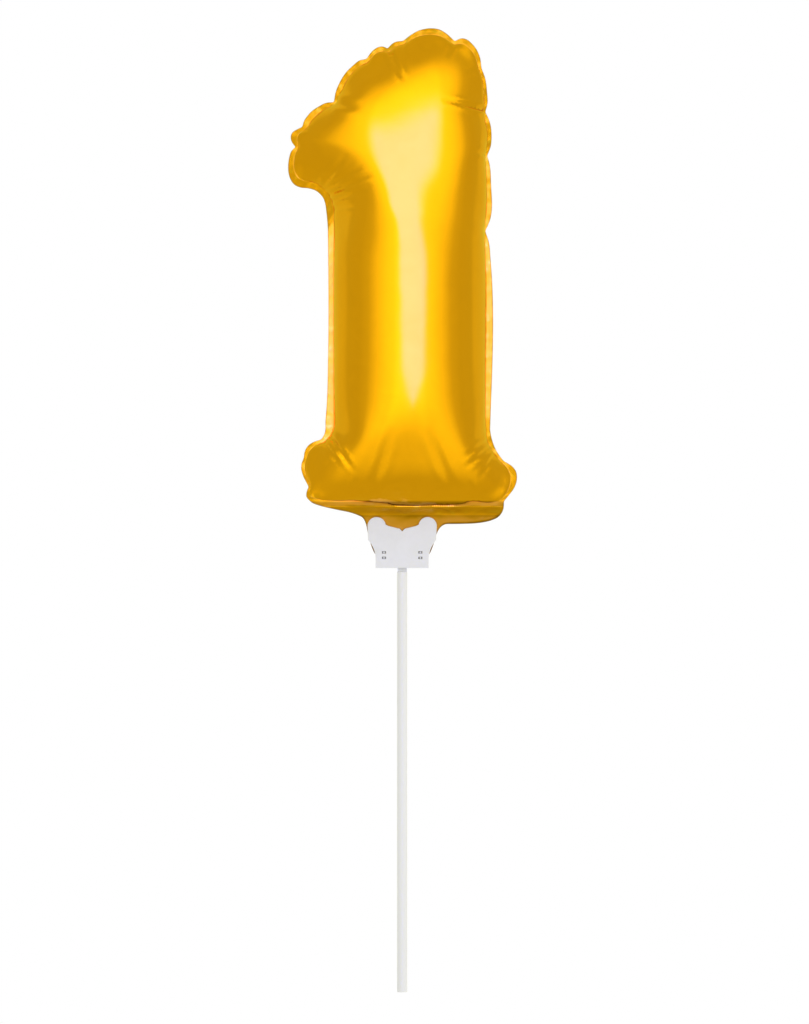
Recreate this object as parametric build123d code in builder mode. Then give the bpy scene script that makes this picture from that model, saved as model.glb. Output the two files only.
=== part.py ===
from build123d import *
import os
from math import asin, cos, degrees, radians, sin

os.makedirs("parts", exist_ok=True)

# A foil balloon in the shape of a 1, held by a folding plastic clip on a hollow plastic stick.
# Millimetres. +Z is up, the front faces -Y, and the origin is the centre of the stick's lower end.

# Stick
stick_length = 252.0
stick_diameter = 6.0
stick_bore = 5.0
rim_rounding = 0.2

# Spigot and tongue that stand the clip on the stick
spigot_length = 15.0
spigot_clearance = 0.05  # radial
spigot_chamfer = 0.5
tongue_width = 5.6
tongue_height = 2.4

# Clip plates, which fold together over the tail
plate_thickness = 1.2
plate_edge_rounding = 0.3
waist_half_width = 15.9
waist_height = 6.4
shoulder_half_width = 20.4
shoulder_height = 16.8
flare_sagitta = 0.9
ear_radius = 5.5
ear_offset = 15.3  # of the ear's centre from the middle of the clip
ear_height = 25.1  # of the ear's centre above the clip's lower edge
ear_arc_start = -10.0
ear_arc_sweep = 180.0
top_edge_half_width = 8.4
top_edge_height = 25.3
notch_half_width = 1.6
notch_height = 22.1
notch_depth = 1.5

# Snap posts on the rear plate and their windows in the front plate
post_radius = 0.5
post_offset = 10.9
post_heights = (6.1, 9.4)
post_recess = 0.6  # from the post's tip to the front plate's outer face
window_width = 2.4
window_height = 1.4
post_hole_clearance = 0.3

# Living hinge
web_width = 5.0
web_offset = 9.0
web_thickness = 0.35
web_radius = 1.3

# Film of the two panels and of their tail
film = 0.3
film_clearance = 0.1  # between the tail and each plate
fold_gap = 0.6  # between the tail and the balloon, at the line where the neck bends
neck_half_width = 24.0
neck_rise = 4.0  # of the bending line above the clip's ears
tail_half_width = 18.6
tail_shoulder = 13.6  # height above the clip's lower edge where the tail is that wide
tail_toe_half_width = 11.0
tail_end = 3.1  # of the tail's end above the clip's lower edge
tail_side_sagitta = 1.5
tail_toe_sagitta = -2.5

# Inner valve: two clear strips sealed along their long edges
valve_film = 0.1
valve_width = 17.0
valve_height = 61.0  # above the bending line
valve_tail_end = 8.0  # of its lower end above the clip's lower edge
valve_corner = 3.0

# The inflated form: a stem between two balls, a base across its foot and a flag at its top left
base_radius = 18.0
base_lift = 5.0  # of the base's lowest line above the bending line
base_left = -37.0
base_right = 41.0
stem_x = 4.5
stem_radius = 43.5
stem_foot_lift = 2.0  # of the stem's lowest point above the base's
stem_run = 208.0  # from the base's axis up to the centre of the stem's top
flag_x = -43.0
flag_drop = 14.5  # of the flag's tip centre below the centre of the stem's top
flag_radius = 19.5
flag_root_radius = 36.0

# Heat-sealed flange outside the form
side_flange = 5.0
left_side_flange = 5.5
neck_right_drop = 13.2  # of the flange's lower corners below the base's lowest line
neck_left_drop = 9.0
right_side_lift = 25.2  # of the straight sides' lower ends above the base's axis
left_side_lift = 26.0
right_side_drop = 72.0  # and of their upper ends below the centre of the stem's top
left_side_drop = 50.5
right_foot_sagitta = 1.6
left_foot_sagitta = 1.2
flag_sagitta = 2.0

# Heights and places that follow from the sizes above
clip_bottom = stick_length + tongue_height
ear_top = clip_bottom + ear_height + ear_radius
neck_z = ear_top + neck_rise
base_z = neck_z + base_lift + base_radius
stem_foot_z = base_z - base_radius + stem_foot_lift + stem_radius
stem_top_z = base_z + stem_run
flag_z = stem_top_z - flag_drop
stem_left = stem_x - stem_radius
stem_right = stem_x + stem_radius
plate_inner = film + film_clearance
plate_outer = plate_inner + plate_thickness
post_places = [(x, clip_bottom + z) for x in (-post_offset, post_offset) for z in post_heights]


def beyond(centre, radius, angle, margin):
    """The point at an angle round a ball of the form, a margin outside its skin."""
    reach = radius + margin
    return (centre[0] + reach * cos(radians(angle)), centre[1] + reach * sin(radians(angle)))


def dome(angle, margin):
    return beyond((stem_x, stem_top_z), stem_radius, angle, margin)


def flag(angle, margin):
    return beyond((flag_x, flag_z), flag_radius, angle, margin)


def left_foot(angle, margin):
    return beyond((base_left, base_z), base_radius, angle, margin)


def right_foot(angle, margin):
    return beyond((base_right, base_z), base_radius, angle, margin)


# Lower corners of the flange beside the neck
neck_right = (neck_half_width + fold_gap / 2, base_z - base_radius - neck_right_drop)
neck_left = (-neck_half_width - fold_gap / 2, base_z - base_radius - neck_left_drop)

# Ends of the two straight sides
right_side_low = (stem_right + side_flange, base_z + right_side_lift)
right_side_high = (stem_right + side_flange, stem_top_z - right_side_drop)
left_side_low = (stem_left - left_side_flange, base_z + left_side_lift)
left_side_high = (stem_left - left_side_flange, stem_top_z - left_side_drop)

# Where the wrinkled stretches begin, and the underside of the flag
right_foot_start = right_foot(-79.4, 13.0)
left_foot_start = left_foot(120.5, 4.6)
flag_underside = flag(247, 7.5)

# The lobes of the wrinkled flange, each as its highest point and the pinch where it ends
right_foot_lobes = [
    (right_foot(-57, 13.7), right_foot(-41.6, 8.5)),
    (right_foot(-7.4, 10.1), right_foot(18.4, 2.9)),
]
top_lobes = [
    ((stem_right + 3.9, stem_top_z - 67.0), (stem_right + 1.3, stem_top_z - 63.4)),
    ((stem_right + 5.3, stem_top_z - 34.6), (stem_right + 2.8, stem_top_z - 18.1)),
    ((stem_right + 5.6, stem_top_z - 5.2), dome(10.5, 2.0)),
    (dome(21.4, 6.3), dome(38.7, 11.6)),
    (dome(52, 18.0), dome(61.6, 13.7)),
    (dome(77.6, 16.3), dome(94.5, 7.3)),
    (dome(99.3, 7.3), dome(106, 4.4)),
    (dome(113, 7.4), dome(123, 4.0)),
    (dome(141, 6.3), dome(163, 4.0)),
    (flag(115, 6.3), flag(141, 2.1)),
    (flag(162, 5.7), flag(176, 1.1)),
    (flag(200, 7.5), flag(228, 10.0)),
]
left_foot_lobes = [
    (left_foot(141.6, 7.1), left_foot(159.6, 5.5)),
    (left_foot(177.5, 4.9), left_foot(205.5, 2.9)),
    (left_foot(216, 7.6), left_foot(238.7, 5.6)),
]


def lobes(start, pairs):
    """Arcs from a start point over each lobe in turn; returns the last pinch."""
    for peak, pinch in pairs:
        ThreePointArc(start, peak, pinch)
        start = pinch
    return start


def round_ended(start, end, start_radius, end_radius):
    """A body of revolution between two balls, straight-sided and tangent to both."""
    run = Vector(end[0] - start[0], 0, end[1] - start[1])
    lean = degrees(asin((start_radius - end_radius) / run.length))
    origin = (start[0], 0, start[1])
    side = [(0, 0), (run.length, 0)]
    with BuildPart() as body:
        with BuildSketch(Plane(origin=origin, x_dir=run, z_dir=(0, -1, 0))):
            with BuildLine():
                near = CenterArc(side[0], start_radius, 90 - lean, 90 + lean)
                far = CenterArc(side[1], end_radius, 0, 90 - lean)
                Line(near @ 0, far @ 1)
                Line(near @ 1, far @ 0)
            make_face()
        revolve(axis=Axis(origin, run))
    return body.part


def inflated_form(inset):
    """The stem, base and flag as one solid, its skin moved inwards by the inset."""
    with BuildPart() as form:
        add(
            round_ended(
                (stem_x, stem_foot_z),
                (stem_x, stem_top_z),
                stem_radius - inset,
                stem_radius - inset,
            )
        )
        add(
            round_ended(
                (base_left, base_z),
                (base_right, base_z),
                base_radius - inset,
                base_radius - inset,
            )
        )
        add(
            round_ended(
                (stem_x, stem_top_z),
                (flag_x, flag_z),
                flag_root_radius - inset,
                flag_radius - inset,
            )
        )
    return form.part


def flange_plate():
    """The flat sealed margin round the form, both films thick, with its wrinkled edge."""
    with BuildPart() as plate:
        with BuildSketch(Plane.XZ):
            with BuildLine():
                Line(neck_right, right_foot_start)
                last = lobes(right_foot_start, right_foot_lobes)
                SagittaArc(last, right_side_low, right_foot_sagitta)
                Line(right_side_low, right_side_high)
                last = lobes(right_side_high, top_lobes)
                Line(last, flag_underside)
                SagittaArc(flag_underside, left_side_high, flag_sagitta)
                Line(left_side_high, left_side_low)
                SagittaArc(left_side_low, left_foot_start, left_foot_sagitta)
                last = lobes(left_foot_start, left_foot_lobes)
                Line(last, neck_left)
                Polyline(
                    neck_left,
                    (neck_left[0], neck_z + fold_gap / 2),
                    (neck_right[0], neck_z + fold_gap / 2),
                    neck_right,
                )
            make_face()
        extrude(amount=film, both=True)
    return plate.part


def tail_outline():
    """The flat tail below the bending line, which the clip grips."""
    with BuildSketch(Plane.XZ) as outline:
        with BuildLine():
            top_right = (neck_half_width, neck_z - fold_gap / 2)
            neck_corner = (neck_half_width, neck_right[1])
            shoulder = (tail_half_width, clip_bottom + tail_shoulder)
            toe = (tail_toe_half_width, clip_bottom + tail_end)
            Line((0, top_right[1]), top_right)
            Line(top_right, neck_corner)
            SagittaArc(neck_corner, shoulder, tail_side_sagitta)
            SagittaArc(shoulder, toe, tail_toe_sagitta)
            Line(toe, (0, toe[1]))
            mirror(about=Plane.YZ)
        make_face()
    return outline.sketch_local


def clip_outline():
    """The outline that both clip plates share: waist, flared shoulders, ears and notched top."""
    with BuildSketch(Plane.XZ) as outline:
        with BuildLine():
            waist = (waist_half_width, clip_bottom + waist_height)
            shoulder = (shoulder_half_width, clip_bottom + shoulder_height)
            top_edge = (top_edge_half_width, clip_bottom + top_edge_height)
            ear = (ear_offset, clip_bottom + ear_height)
            notch = (notch_half_width, clip_bottom + notch_height + notch_depth)
            ear_arc = CenterArc(ear, ear_radius, ear_arc_start, ear_arc_sweep)
            Line((0, clip_bottom), (waist_half_width, clip_bottom))
            Line((waist_half_width, clip_bottom), waist)
            SagittaArc(waist, shoulder, flare_sagitta)
            Line(shoulder, ear_arc @ 0)
            Line(ear_arc @ 1, top_edge)
            Line(top_edge, notch)
            Line(notch, (0, clip_bottom + notch_height))
            mirror(about=Plane.YZ)
        make_face()
    return outline.sketch_local


with BuildPart() as stick_tube:
    with BuildSketch():
        Circle(stick_diameter / 2)
        Circle(stick_bore / 2, mode=Mode.SUBTRACT)
    extrude(amount=stick_length)
    outer_rims = stick_tube.edges().filter_by(GeomType.CIRCLE).group_by(SortBy.RADIUS)[-1]
    fillet(outer_rims, rim_rounding)
stick_tube.part.label = "stick_tube"
export_step(stick_tube.part, "parts/stick_tube.step")

with BuildPart() as clip_rear_plate:
    with BuildSketch(Plane.XZ.offset(-plate_inner)):
        add(clip_outline())
    extrude(amount=-plate_thickness)
    outer_edges = clip_rear_plate.faces().sort_by(Axis.Y)[-1].edges()
    fillet(outer_edges, plate_edge_rounding)
    with BuildSketch(Plane.XZ.offset(-plate_inner)):
        with Locations(*post_places):
            Circle(post_radius)
    extrude(amount=plate_inner + plate_outer - post_recess)
    with BuildSketch(Plane.XZ.offset(-plate_inner)):
        with Locations((0, stick_length)):
            Rectangle(tongue_width, tongue_height + waist_height, align=(Align.CENTER, Align.MIN))
    extrude(amount=-plate_thickness)
    with BuildSketch(Plane.XY.offset(stick_length)):
        Circle(stick_bore / 2 - spigot_clearance)
    extrude(amount=-spigot_length)
    chamfer(clip_rear_plate.faces().sort_by(Axis.Z)[0].edges(), spigot_chamfer)
clip_rear_plate.part.label = "clip_rear_plate"
export_step(clip_rear_plate.part, "parts/clip_rear_plate.step")

with BuildPart() as clip_front_plate:
    with BuildSketch(Plane.XZ.offset(plate_inner)):
        add(clip_outline())
    extrude(amount=plate_thickness)
    outer_edges = clip_front_plate.faces().sort_by(Axis.Y)[0].edges()
    fillet(outer_edges, plate_edge_rounding)
    with BuildSketch(Plane.XZ.offset(plate_inner)):
        with Locations(*post_places):
            Rectangle(window_width, window_height)
    extrude(amount=plate_thickness, mode=Mode.SUBTRACT)
clip_front_plate.part.label = "clip_front_plate"
export_step(clip_front_plate.part, "parts/clip_front_plate.step")

with BuildPart() as clip_hinge_webs:
    for web_x in (-web_offset, web_offset):
        with BuildSketch(Plane.YZ.offset(web_x)):
            with Locations((0, clip_bottom)):
                Circle(web_radius)
                Circle(web_radius - web_thickness, mode=Mode.SUBTRACT)
                Rectangle(
                    2 * web_radius,
                    web_radius,
                    align=(Align.CENTER, Align.MIN),
                    mode=Mode.SUBTRACT,
                )
        extrude(amount=web_width / 2, both=True)
clip_hinge_webs.part.label = "clip_hinge_webs"
export_step(clip_hinge_webs.part, "parts/clip_hinge_webs.step")

outer_form = inflated_form(0)
inner_form = inflated_form(film)
sealed_flange = flange_plate()
for name, side, keep in (("front", 1, Keep.TOP), ("back", -1, Keep.BOTTOM)):
    with BuildPart() as film_panel:
        add(outer_form)
        add(sealed_flange)
        add(inner_form, mode=Mode.SUBTRACT)
        split(bisect_by=Plane.XZ, keep=keep)
        with BuildSketch(Plane.XZ):
            with Locations((0, neck_z)):
                Rectangle(valve_width, valve_height, align=(Align.CENTER, Align.MIN))
        extrude(amount=side * valve_film, mode=Mode.SUBTRACT)
    film_panel.part.label = name + "_film_panel"
    export_step(film_panel.part, "parts/" + name + "_film_panel.step")

    with BuildPart() as film_tail:
        with BuildSketch(Plane.XZ):
            add(tail_outline())
            with Locations(*post_places):
                Circle(post_radius + post_hole_clearance, mode=Mode.SUBTRACT)
        extrude(amount=side * film)
        with BuildSketch(Plane.XZ):
            with Locations((0, clip_bottom + valve_tail_end)):
                Rectangle(valve_width, neck_z - clip_bottom, align=(Align.CENTER, Align.MIN))
        extrude(amount=side * valve_film, mode=Mode.SUBTRACT)
    film_tail.part.label = name + "_film_tail"
    export_step(film_tail.part, "parts/" + name + "_film_tail.step")

    with BuildPart() as valve_strip:
        with BuildSketch(Plane.XZ):
            with Locations((0, neck_z + fold_gap / 2)):
                Rectangle(valve_width, valve_height - fold_gap / 2, align=(Align.CENTER, Align.MIN))
        extrude(amount=side * valve_film)
        fillet(valve_strip.edges().filter_by(Axis.Y).group_by(Axis.Z)[-1], valve_corner)
    valve_strip.part.label = "valve_" + name + "_strip"
    export_step(valve_strip.part, "parts/valve_" + name + "_strip.step")

    with BuildPart() as valve_mouth:
        with BuildSketch(Plane.XZ):
            with Locations((0, clip_bottom + valve_tail_end)):
                mouth_length = neck_z - fold_gap / 2 - clip_bottom - valve_tail_end
                Rectangle(valve_width, mouth_length, align=(Align.CENTER, Align.MIN))
        extrude(amount=side * valve_film)
    valve_mouth.part.label = "valve_" + name + "_mouth"
    export_step(valve_mouth.part, "parts/valve_" + name + "_mouth.step")
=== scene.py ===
import math

import bpy
import numpy as np
from mathutils import Matrix, Vector
from mathutils.geometry import delaunay_2d_cdt


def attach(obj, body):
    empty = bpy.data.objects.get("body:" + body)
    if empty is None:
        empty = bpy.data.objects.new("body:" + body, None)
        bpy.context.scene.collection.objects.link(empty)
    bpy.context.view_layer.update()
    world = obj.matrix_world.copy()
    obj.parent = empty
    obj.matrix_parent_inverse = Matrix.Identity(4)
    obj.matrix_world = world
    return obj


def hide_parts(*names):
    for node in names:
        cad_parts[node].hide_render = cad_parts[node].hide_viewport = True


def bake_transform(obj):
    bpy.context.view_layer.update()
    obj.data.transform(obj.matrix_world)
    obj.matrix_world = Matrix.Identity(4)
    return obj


# A gold foil balloon in the shape of a 1, in a white folding clip on a white stick.
# Metres; the flat pattern and the outline of the sealed margin are in millimetres.

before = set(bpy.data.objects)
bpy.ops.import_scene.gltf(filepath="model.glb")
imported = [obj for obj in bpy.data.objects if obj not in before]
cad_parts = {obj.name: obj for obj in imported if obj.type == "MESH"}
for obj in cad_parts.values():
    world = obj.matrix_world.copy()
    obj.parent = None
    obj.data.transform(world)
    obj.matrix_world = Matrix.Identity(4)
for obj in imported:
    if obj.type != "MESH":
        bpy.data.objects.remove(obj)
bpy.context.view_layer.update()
MM = 0.001

# ---------------------------------------------------------------- camera and studio

VIEW_DISTANCE = 4.0
PICTURE_HEIGHT = 0.6144  # of the plane through the stick
PICTURE_MIDDLE = (0.0014, 0.288)
FLOOR_HEIGHT = -0.35
FLOOR_RADIUS = 3.0


def set_camera():
    lens = bpy.data.cameras.new("camera")
    camera = bpy.data.objects.new("camera", lens)
    bpy.context.collection.objects.link(camera)
    camera.location = (PICTURE_MIDDLE[0], -VIEW_DISTANCE, PICTURE_MIDDLE[1])
    camera.rotation_euler = (math.pi / 2, 0, 0)
    lens.sensor_width = 36
    lens.lens = lens.sensor_width * VIEW_DISTANCE / PICTURE_HEIGHT
    bpy.context.scene.camera = camera


def new_node(tree, kind, **inputs):
    """A node with its inputs set by name; an input that is an output of another node is linked."""
    node = tree.nodes.new(kind)
    for name, value in inputs.items():
        socket = node.inputs[int(name[1:])] if name[0] == "_" else node.inputs[name.replace("_", " ")]
        if isinstance(value, bpy.types.NodeSocket):
            tree.links.new(value, socket)
        else:
            socket.default_value = value
    return node


def sum_of(tree, operation, first, second=0.0, third=0.0):
    node = new_node(tree, "ShaderNodeMath", _0=first, _1=second, _2=third)
    node.operation = operation
    return node.outputs[0]


def ramp_of(tree, value, stops, easing="EASE"):
    node = new_node(tree, "ShaderNodeValToRGB", Fac=value)
    ramp = node.color_ramp
    ramp.interpolation = easing
    ramp.elements[0].position = stops[0][0]
    ramp.elements[0].color = (*stops[0][1], 1)
    ramp.elements[1].position = stops[-1][0]
    ramp.elements[1].color = (*stops[-1][1], 1)
    for place, colour in stops[1:-1]:
        ramp.elements.new(place).color = (*colour, 1)
    return node.outputs[0]


# The light seen in a mirror, by the direction's turn from the front, as a share of half a turn
BANK_OF_LIGHTS = [
    (0.0, 0.86), (0.095, 0.83), (0.13, 0.72), (0.19, 0.66), (0.28, 0.5), (0.36, 0.33), (0.45, 0.29),
    (0.6, 0.29), (0.64, 0.345), (1.0, 0.37),
]
COOL_CORE = [(0.0, 1.0), (0.085, 1.0), (0.135, 0.0), (1.0, 0.0)]
BELOW = 0.3
ABOVE = 0.3
LOWER_EDGE = (-62, -8)  # degrees over which the bank fades out below
UPPER_EDGE = (40, 80)  # and above
CORE_LOWER_EDGE = (-34, -26)
CORE_UPPER_EDGE = (34, 46)
CORE_SHIFT = 0.032  # to the right, for what looks level or down
CORE_SPREAD = 0.62  # how much slower the core fades sideways for what looks up
BANK_SPREAD = 0.09  # how much broader the bank is for what looks up
SPREAD_BY = 18  # degrees up by which both are fully spread
CORE_TAPER = (0.005, 0.85)  # the core narrows below this rise, by this much turn for each turn of fall
WARMTH = 0.08  # blue share of the light outside the core
CORE_BLUE = 5.6


def light_studio():
    """A broad soft light in front, dimmer walls and a dim floor and ceiling, on a white ground."""
    world = bpy.data.worlds.new("studio")
    bpy.context.scene.world = world
    world.use_nodes = True
    tree = world.node_tree
    tree.nodes.clear()
    place = new_node(tree, "ShaderNodeTexCoord").outputs["Generated"]
    split = new_node(tree, "ShaderNodeSeparateXYZ", _0=place)
    x, y, z = split.outputs
    turn = sum_of(tree, "ARCTAN2", sum_of(tree, "ABSOLUTE", x), sum_of(tree, "MULTIPLY", y, -1.0))
    turn = sum_of(tree, "DIVIDE", turn, math.pi)
    rise = sum_of(tree, "ARCSINE", z)

    def fade(value, edge, start, end, towards):
        """value, eased to towards over an edge in degrees; start and end are its share of the change."""
        share = new_node(tree, "ShaderNodeMapRange", Value=rise, From_Min=math.radians(edge[0]),
                         From_Max=math.radians(edge[1]), To_Min=start, To_Max=end)
        share.interpolation_type = "SMOOTHSTEP"
        change = sum_of(tree, "SUBTRACT", towards, value)
        return sum_of(tree, "MULTIPLY_ADD", change, share.outputs[0], value)

    level = new_node(tree, "ShaderNodeMapRange", Value=rise, From_Max=math.radians(SPREAD_BY),
                     To_Min=1.0, To_Max=0.0)
    level.interpolation_type = "SMOOTHSTEP"
    level = level.outputs[0]
    ahead = sum_of(tree, "MULTIPLY_ADD", level, BANK_SPREAD, turn)
    ahead = sum_of(tree, "MAXIMUM", sum_of(tree, "SUBTRACT", ahead, BANK_SPREAD), 0.0)
    bank = ramp_of(tree, ahead, [(place, (light,) * 3) for place, light in BANK_OF_LIGHTS], "LINEAR")
    bank = fade(bank, LOWER_EDGE, 1.0, 0.0, BELOW)
    bank = fade(bank, UPPER_EDGE, 0.0, 1.0, ABOVE)
    aside = sum_of(tree, "ARCTAN2", x, sum_of(tree, "MULTIPLY", y, -1.0))
    aside = sum_of(tree, "DIVIDE", aside, math.pi)
    aside = sum_of(tree, "ABSOLUTE", sum_of(tree, "MULTIPLY_ADD", level, -CORE_SHIFT, aside))
    aside = sum_of(tree, "MULTIPLY", aside, sum_of(tree, "MULTIPLY_ADD", level, 1 - CORE_SPREAD, CORE_SPREAD))
    fall = sum_of(tree, "SUBTRACT", CORE_TAPER[0], sum_of(tree, "DIVIDE", rise, math.pi))
    narrowed = sum_of(tree, "MULTIPLY_ADD", sum_of(tree, "MAXIMUM", fall, 0.0), CORE_TAPER[1], aside)
    core = ramp_of(tree, narrowed, [(place, (light,) * 3) for place, light in COOL_CORE])
    core = fade(core, CORE_LOWER_EDGE, 1.0, 0.0, 0.0)
    core = fade(core, CORE_UPPER_EDGE, 0.0, 1.0, 0.0)
    bright = sum_of(tree, "MULTIPLY", bank, 2.0)
    blue = sum_of(tree, "MULTIPLY_ADD", core, CORE_BLUE, sum_of(tree, "MULTIPLY", bright, WARMTH))
    seen = new_node(tree, "ShaderNodeCombineColor", Red=bright, Green=bright, Blue=blue)
    mirror = new_node(tree, "ShaderNodeBackground", Color=seen.outputs[0], Strength=1.0)
    # on matt things the light is nearly even, a little stronger from the right and from below
    lean = sum_of(tree, "MULTIPLY_ADD", x, 0.16, 1.02)
    lean = sum_of(tree, "MULTIPLY_ADD", z, -0.1, lean)
    matt = new_node(tree, "ShaderNodeBackground", Color=(1, 1, 1, 1), Strength=lean)
    ground = new_node(tree, "ShaderNodeBackground", Color=(1, 1, 1, 1), Strength=1.0)
    path = new_node(tree, "ShaderNodeLightPath")
    lit = new_node(tree, "ShaderNodeMixShader", _0=path.outputs["Is Glossy Ray"], _1=matt.outputs[0],
                   _2=mirror.outputs[0])
    whole = new_node(tree, "ShaderNodeMixShader", _0=path.outputs["Is Camera Ray"], _1=lit.outputs[0],
                     _2=ground.outputs[0])
    new_node(tree, "ShaderNodeOutputWorld", Surface=whole.outputs[0])
    bpy.context.scene.view_settings.view_transform = "Standard"


def lay_floor(material):
    bpy.ops.mesh.primitive_circle_add(
        vertices=96, radius=FLOOR_RADIUS, fill_type="NGON", location=(0, 0, FLOOR_HEIGHT))
    floor = bpy.context.object
    floor.name = "studio_floor"
    floor.data.materials.append(material)
    floor.visible_glossy = False
    floor.visible_diffuse = False


set_camera()
light_studio()

# ---------------------------------------------------------------- finishes


def new_group(name, inputs, outputs):
    group = bpy.data.node_groups.new(name, "ShaderNodeTree")
    for label, kind, value in inputs:
        socket = group.interface.new_socket(label, in_out="INPUT", socket_type=kind)
        if value is not None:
            socket.default_value = value
    for label, kind in outputs:
        group.interface.new_socket(label, in_out="OUTPUT", socket_type=kind)
    return group, group.nodes.new("NodeGroupInput").outputs, group.nodes.new("NodeGroupOutput").inputs


def place_group(tree, group, **inputs):
    node = tree.nodes.new("ShaderNodeGroup")
    node.node_tree = group
    for name, value in inputs.items():
        socket = node.inputs[name.replace("_", " ")]
        if isinstance(value, bpy.types.NodeSocket):
            tree.links.new(value, socket)
        else:
            socket.default_value = value
    return node


def handling_marks_group():
    """Faint smears and cloudy patches left by hands: a mask from 0 to 1."""
    group, given, out = new_group(
        "handling_marks",
        [("Vector", "NodeSocketVector", None), ("Patch Scale", "NodeSocketFloat", 25.0),
         ("Smear Scale", "NodeSocketFloat", 90.0)],
        [("Mask", "NodeSocketFloat")],
    )
    patch = new_node(group, "ShaderNodeTexNoise", Vector=given["Vector"],
        Scale=given["Patch Scale"], Detail=3.0)
    smear = new_node(group, "ShaderNodeTexNoise", Vector=given["Vector"],
        Scale=given["Smear Scale"], Detail=5.0,
                     Distortion=1.2)
    both = sum_of(group, "MULTIPLY", patch.outputs["Fac"], smear.outputs["Fac"])
    spread = new_node(group, "ShaderNodeMapRange", Value=both, From_Min=0.15, From_Max=0.4)
    group.links.new(spread.outputs[0], out["Mask"])
    return group


def fine_grain_group():
    """The skin of moulded or extruded plastic: a height from -0.5 to 0.5 and a mask of small specks."""
    group, given, out = new_group(
        "fine_grain",
        [("Vector", "NodeSocketVector", None), ("Grain Scale", "NodeSocketFloat", 3000.0),
         ("Wave Scale", "NodeSocketFloat", 300.0)],
        [("Height", "NodeSocketFloat"), ("Specks", "NodeSocketFloat")],
    )
    grain = new_node(group, "ShaderNodeTexNoise", Vector=given["Vector"],
        Scale=given["Grain Scale"], Detail=2.0)
    wave = new_node(group, "ShaderNodeTexNoise", Vector=given["Vector"],
        Scale=given["Wave Scale"], Detail=1.0)
    height = sum_of(group, "MULTIPLY_ADD", grain.outputs["Fac"], 0.35, wave.outputs["Fac"])
    group.links.new(sum_of(group, "SUBTRACT", height, 0.67), out["Height"])
    specks = new_node(group, "ShaderNodeTexVoronoi", Vector=given["Vector"], Scale=given["Wave Scale"])
    near = new_node(group, "ShaderNodeMapRange", Value=specks.outputs["Distance"],
        From_Min=0.05, From_Max=0.12,
                    To_Min=1.0, To_Max=0.0)
    group.links.new(near.outputs[0], out["Specks"])
    return group


def heat_seal_group():
    """The crossed press marks and puckers of a heat-sealed margin: a height from 0 to 1, and a mask for
    painted glints.
    """
    group, given, out = new_group(
        "heat_seal",
        [("Vector", "NodeSocketVector", None), ("Press Pitch", "NodeSocketFloat", 1400.0),
         ("Pucker Scale", "NodeSocketFloat", 260.0)],
        [("Height", "NodeSocketFloat"), ("Glints", "NodeSocketFloat")],
    )
    bars = []
    for turned in (0.785, -0.785):
        lie = new_node(group, "ShaderNodeMapping", Vector=given["Vector"], Rotation=(0.0, turned, 0.0))
        bar = new_node(group, "ShaderNodeTexWave", Vector=lie.outputs[0], Scale=given["Press Pitch"])
        bar.bands_direction = "X"
        bars.append(bar.outputs["Fac"])
    press = sum_of(group, "MULTIPLY", bars[0], bars[1])
    pucker = new_node(group, "ShaderNodeTexVoronoi", Vector=given["Vector"], Scale=given["Pucker Scale"])
    pucker.feature = "SMOOTH_F1"
    crumple = new_node(group, "ShaderNodeTexNoise", Vector=given["Vector"],
        Scale=given["Pucker Scale"], Detail=2.0)
    folds = sum_of(group, "MULTIPLY", pucker.outputs["Distance"], crumple.outputs["Fac"])
    group.links.new(sum_of(group, "MULTIPLY_ADD", press, 0.16, folds), out["Height"])
    glint = new_node(group, "ShaderNodeMapRange", Value=crumple.outputs["Fac"], From_Min=0.56, From_Max=0.7)
    group.links.new(glint.outputs[0], out["Glints"])
    return group


HANDLING = handling_marks_group()
GRAIN = fine_grain_group()
SEAL = heat_seal_group()


def new_material(name):
    material = bpy.data.materials.new(name)
    material.use_nodes = True
    tree = material.node_tree
    place = new_node(tree, "ShaderNodeTexCoord").outputs["Object"]
    return material, tree, tree.nodes["Principled BSDF"], place


def mix_colours(tree, share, first, second):
    node = new_node(tree, "ShaderNodeMix")
    node.data_type = "RGBA"
    tree.links.new(share, node.inputs[0])
    node.inputs[6].default_value = (*first, 1)
    node.inputs[7].default_value = (*second, 1)
    return node.outputs[2]


# Painted shade near the base's seam: how much of its brightness the film's colour keeps, up a short span of
# height; the darker bands are painted shade under the seam
PAINTED_SHADE_SPAN = (0.284, 0.296)
PAINTED_SHADE_BANDS = [
    (0.0, 0.36), (0.14, 0.37), (0.22, 0.72), (0.6, 0.72), (0.66, 0.4), (0.8, 0.42), (0.92, 1.0), (1.0, 1.0),
]


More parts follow.
